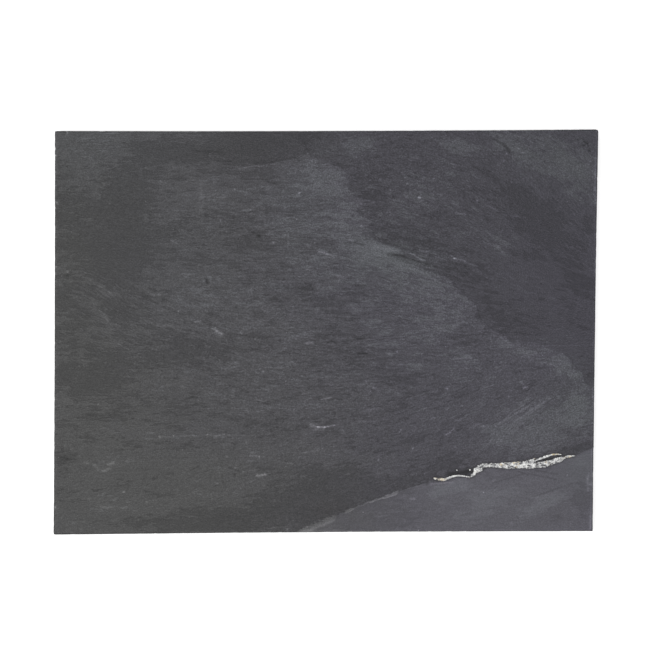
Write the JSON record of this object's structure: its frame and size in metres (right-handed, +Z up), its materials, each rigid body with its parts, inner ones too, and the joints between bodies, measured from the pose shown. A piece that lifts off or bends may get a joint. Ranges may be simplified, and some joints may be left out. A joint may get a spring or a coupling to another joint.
{
  "type": "slate slab",
  "caption": "Rectangular slab of riven slate with sawn sides, a split ledge across one corner and a rough quartz vein along it.",
  "frame": {"origin": "middle of the slab's outline, on its flat underside", "axes": "+X along the long side, +Y across it, +Z up out of the riven face; the split ledge and the quartz vein are at the +X -Y corner"},
  "size_m": [0.4046, 0.3009, 0.0088],
  "materials": {
    "slate": "natural riven cleavage, matt charcoal grey"
  },
  "bodies": {
    "root": {"slate_slab": "slate"}
  },
  "joints": []
}
